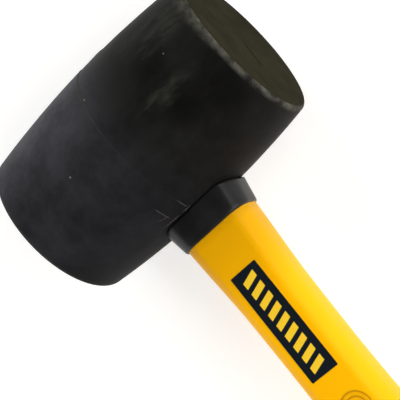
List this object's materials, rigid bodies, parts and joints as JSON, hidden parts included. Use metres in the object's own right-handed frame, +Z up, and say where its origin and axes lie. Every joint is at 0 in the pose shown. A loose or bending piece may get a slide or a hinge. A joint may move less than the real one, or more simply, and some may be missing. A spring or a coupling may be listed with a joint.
{
  "type": "rubber mallet",
  "caption": "Rubber mallet with a barrel-shaped black rubber head, a waisted yellow handle over a glass-fibre core, a neck band and a ribbed soft grip.",
  "frame": {"origin": "bottom centre of the bounding box of the whole mallet as it lies at rest, on the surface it lies on", "axes": "+X runs along the handle from the head to the butt, +Y along the head to one striking face, +Z up out of the front of the handle"},
  "size_m": [0.3342, 0.091, 0.063],
  "materials": {
    "head_rubber": "moulded, satin, scuffed",
    "collar_rubber": "moulded, satin",
    "jacket_plastic": "moulded, semi-gloss",
    "core_fibreglass": "pultruded, sawn end",
    "bond_resin": "cast, glossy",
    "wedge_plastic": "moulded, matte",
    "grip_rubber": "moulded, fine grain",
    "label_film": "printed film, satin"
  },
  "bodies": {
    "root": {"rubber_head": "head_rubber", "neck_collar": "collar_rubber", "handle_jacket": "jacket_plastic", "fibreglass_core": "core_fibreglass", "eye_bond": "bond_resin", "tang_wedge_near": "wedge_plastic", "tang_wedge_far": "wedge_plastic", "grip_sleeve": "grip_rubber", "front_label": "label_film"}
  },
  "joints": []
}
